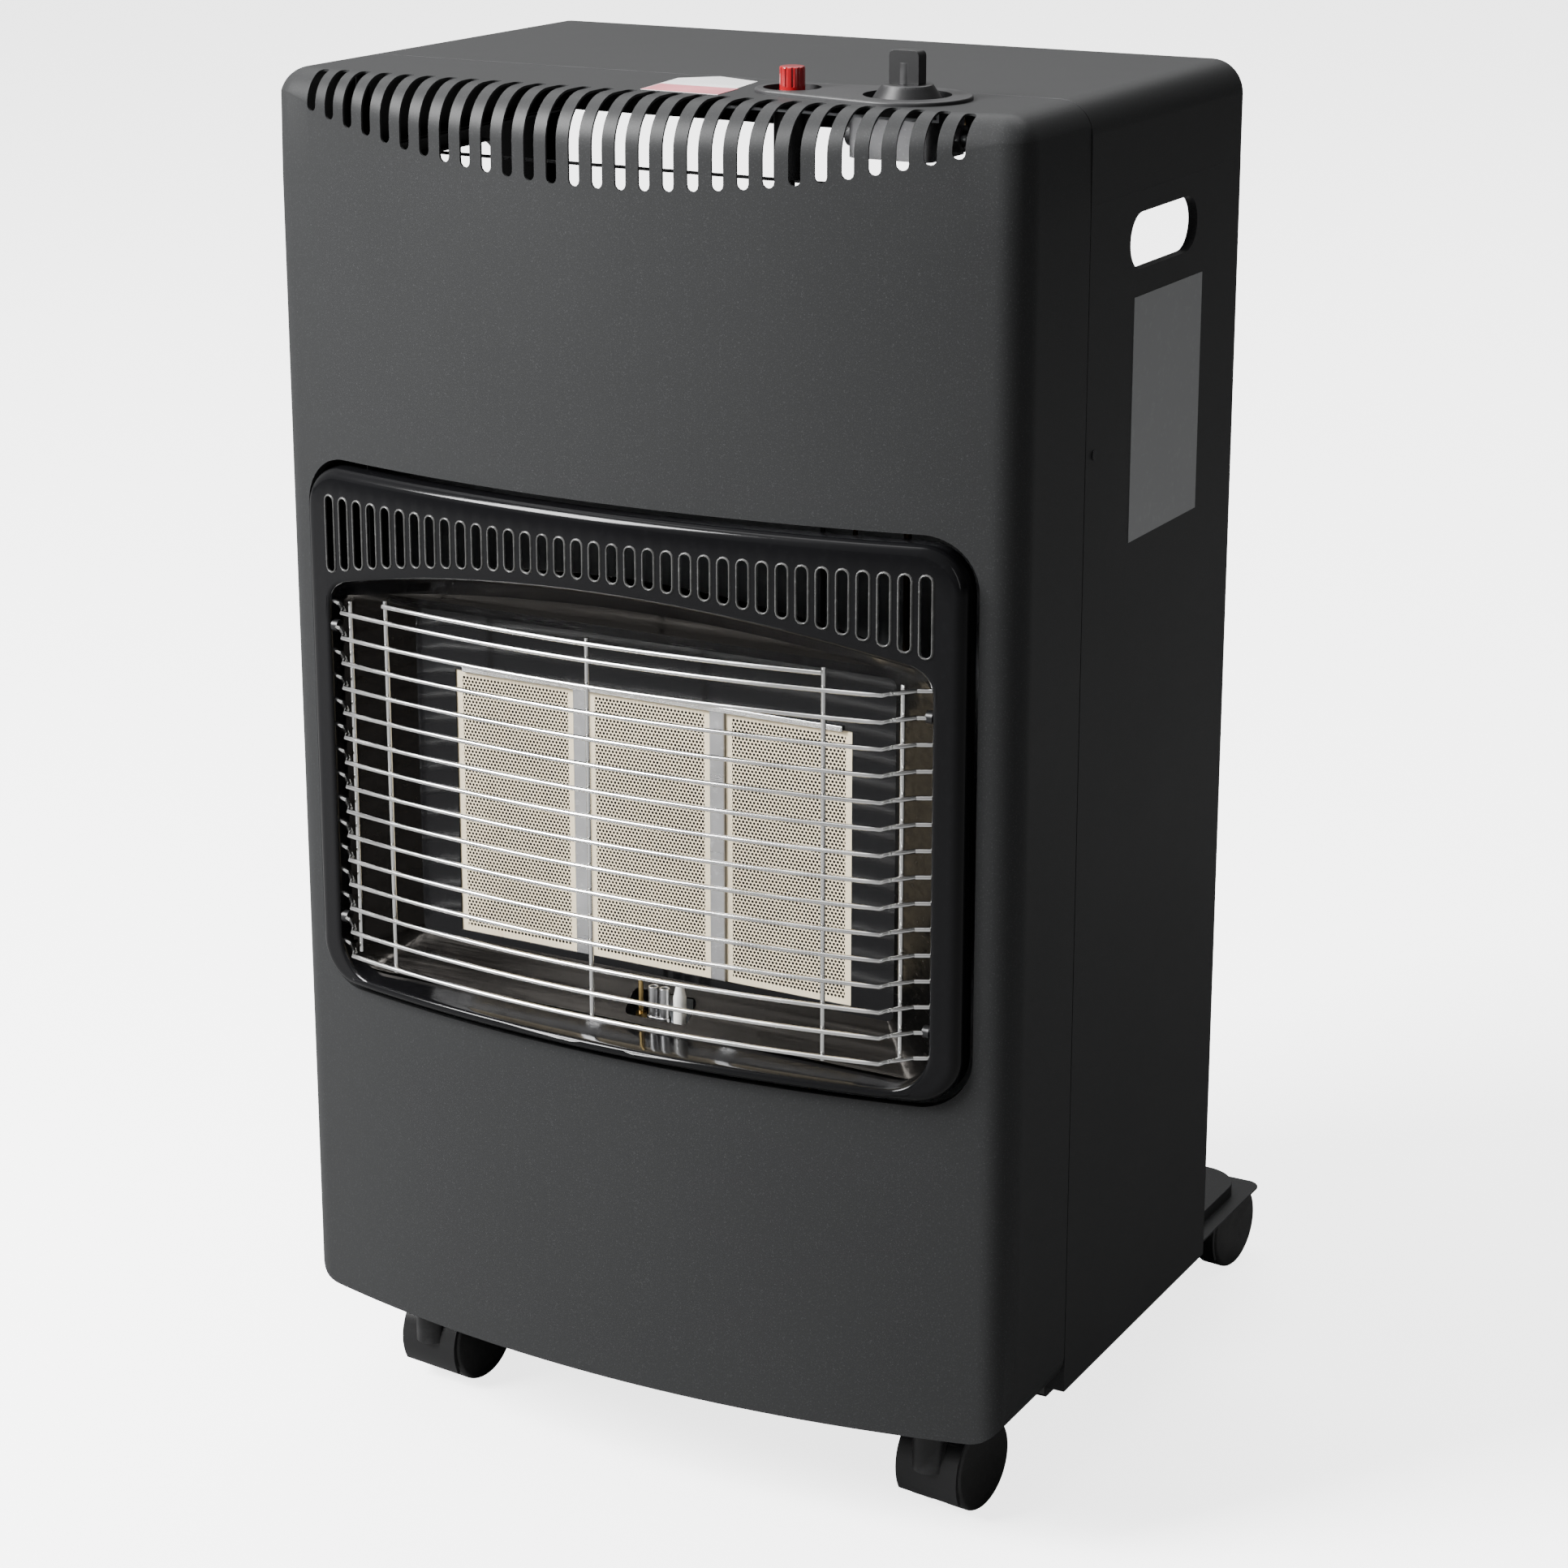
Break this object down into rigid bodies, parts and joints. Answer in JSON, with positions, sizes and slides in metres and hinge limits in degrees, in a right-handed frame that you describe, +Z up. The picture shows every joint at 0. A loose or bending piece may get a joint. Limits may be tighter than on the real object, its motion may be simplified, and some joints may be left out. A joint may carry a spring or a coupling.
{
  "type": "gas cabinet heater",
  "caption": "Upright gas cabinet heater with a bowed vented front, a guarded ceramic plaque burner, top controls, a bottle bay open at the back and swivelling twin-wheel castors.",
  "frame": {"origin": "middle of the footprint on the floor", "axes": "+Z up, +X to the right seen from the front, +Y to the back, so that the burner faces -Y"},
  "size_m": [0.4214, 0.464, 0.753],
  "materials": {
    "casing": "satin",
    "enamel": "gloss",
    "steel": "satin",
    "dark_steel": "satin",
    "wire": "polished",
    "ceramic": "matte",
    "insulator": "satin",
    "brass": "satin",
    "aluminium": "satin",
    "black_plastic": "satin",
    "red_plastic": "gloss",
    "lead": "satin",
    "silver_label": "satin",
    "white_label": "satin"
  },
  "bodies": {
    "cabinet": {"base_tray": "casing", "front_cover": "casing", "top_cover": "casing", "left_side_panel": "casing", "right_side_panel": "casing", "panel_screws": "steel", "heat_shield": "steel", "shield_screws": "steel", "burner_surround": "enamel", "burner_frame": "steel", "ceramic_plaque_left": "ceramic", "ceramic_plaque_middle": "ceramic", "ceramic_plaque_right": "ceramic", "burner_plenum_left": "steel", "burner_plenum_middle": "steel", "burner_plenum_right": "steel", "mixing_tubes": "steel", "gas_manifold": "steel", "injectors": "brass", "burner_brackets": "steel", "reflector": "dark_steel", "guard_bars": "wire", "guard_uprights": "wire", "guard_clips": "dark_steel", "pilot_bracket": "steel", "pilot_burner": "steel", "thermocouple_tip": "dark_steel", "spark_insulator": "insulator", "control_plate": "black_plastic", "control_bracket": "steel", "valve_body": "aluminium", "inlet_nozzle": "brass", "piezo_igniter": "black_plastic", "gas_pipe": "steel", "pilot_pipe": "brass", "ignition_lead": "lead", "thermocouple_lead": "lead", "castor_sockets": "steel", "rating_label": "silver_label", "top_label": "white_label"},
    "spindle": {"valve_spindle": "brass"},
    "knob": {"control_knob": "black_plastic", "knob_skirt": "black_plastic"},
    "button": {"igniter_button": "red_plastic"},
    "castor_front_left": {"castor_hood_front_left": "black_plastic", "castor_axle_front_left": "steel"},
    "wheel_front_left_1": {"castor_wheel_front_left_1": "black_plastic"},
    "wheel_front_left_2": {"castor_wheel_front_left_2": "black_plastic"},
    "castor_front_right": {"castor_hood_front_right": "black_plastic", "castor_axle_front_right": "steel"},
    "wheel_front_right_1": {"castor_wheel_front_right_1": "black_plastic"},
    "wheel_front_right_2": {"castor_wheel_front_right_2": "black_plastic"},
    "castor_rear_left": {"castor_hood_rear_left": "black_plastic", "castor_axle_rear_left": "steel"},
    "wheel_rear_left_1": {"castor_wheel_rear_left_1": "black_plastic"},
    "wheel_rear_left_2": {"castor_wheel_rear_left_2": "black_plastic"},
    "castor_rear_right": {"castor_hood_rear_right": "black_plastic", "castor_axle_rear_right": "steel"},
    "wheel_rear_right_1": {"castor_wheel_rear_right_1": "black_plastic"},
    "wheel_rear_right_2": {"castor_wheel_rear_right_2": "black_plastic"}
  },
  "joints": [
    {"name": "knob_turn", "type": "hinge", "parent": "cabinet", "child": "spindle", "pos_m": [0.13, -0.14603, 0.732], "axis": [0, 0, 1], "range_deg": [0, 180]},
    {"name": "knob_push", "type": "slide", "parent": "spindle", "child": "knob", "axis": [0, 0, -1], "range_m": [0, 0.003], "stiffness_N_per_m": 900, "springref_m": -0.003},
    {"name": "igniter_press", "type": "slide", "parent": "cabinet", "child": "button", "axis": [0, 0, -1], "range_m": [0, 0.006], "stiffness_N_per_m": 700, "springref_m": -0.003},
    {"name": "castor_front_left_swivel", "type": "hinge", "parent": "cabinet", "child": "castor_front_left", "pos_m": [-0.154, -0.15353, 0.0606], "axis": [0, 0, 1], "continuous": true},
    {"name": "wheel_front_left_1_spin", "type": "hinge", "parent": "castor_front_left", "child": "wheel_front_left_1", "pos_m": [-0.15149, -0.12966, 0.025], "axis": [0.9945, -0.1045, 0], "continuous": true},
    {"name": "wheel_front_left_2_spin", "type": "hinge", "parent": "castor_front_left", "child": "wheel_front_left_2", "pos_m": [-0.15149, -0.12966, 0.025], "axis": [0.9945, -0.1045, 0], "continuous": true},
    {"name": "castor_front_right_swivel", "type": "hinge", "parent": "cabinet", "child": "castor_front_right", "pos_m": [0.154, -0.15353, 0.0606], "axis": [0, 0, 1], "continuous": true},
    {"name": "wheel_front_right_1_spin", "type": "hinge", "parent": "castor_front_right", "child": "wheel_front_right_1", "pos_m": [0.15651, -0.12966, 0.025], "axis": [0.9945, -0.1045, 0], "continuous": true},
    {"name": "wheel_front_right_2_spin", "type": "hinge", "parent": "castor_front_right", "child": "wheel_front_right_2", "pos_m": [0.15651, -0.12966, 0.025], "axis": [0.9945, -0.1045, 0], "continuous": true},
    {"name": "castor_rear_left_swivel", "type": "hinge", "parent": "cabinet", "child": "castor_rear_left", "pos_m": [-0.159, 0.18147, 0.0606], "axis": [0, 0, 1], "continuous": true},
    {"name": "wheel_rear_left_1_spin", "type": "hinge", "parent": "castor_rear_left", "child": "wheel_rear_left_1", "pos_m": [-0.15649, 0.20534, 0.025], "axis": [0.9945, -0.1045, 0], "continuous": true},
    {"name": "wheel_rear_left_2_spin", "type": "hinge", "parent": "castor_rear_left", "child": "wheel_rear_left_2", "pos_m": [-0.15649, 0.20534, 0.025], "axis": [0.9945, -0.1045, 0], "continuous": true},
    {"name": "castor_rear_right_swivel", "type": "hinge", "parent": "cabinet", "child": "castor_rear_right", "pos_m": [0.159, 0.18147, 0.0606], "axis": [0, 0, 1], "continuous": true},
    {"name": "wheel_rear_right_1_spin", "type": "hinge", "parent": "castor_rear_right", "child": "wheel_rear_right_1", "pos_m": [0.16151, 0.20534, 0.025], "axis": [0.9945, -0.1045, 0], "continuous": true},
    {"name": "wheel_rear_right_2_spin", "type": "hinge", "parent": "castor_rear_right", "child": "wheel_rear_right_2", "pos_m": [0.16151, 0.20534, 0.025], "axis": [0.9945, -0.1045, 0], "continuous": true}
  ]
}
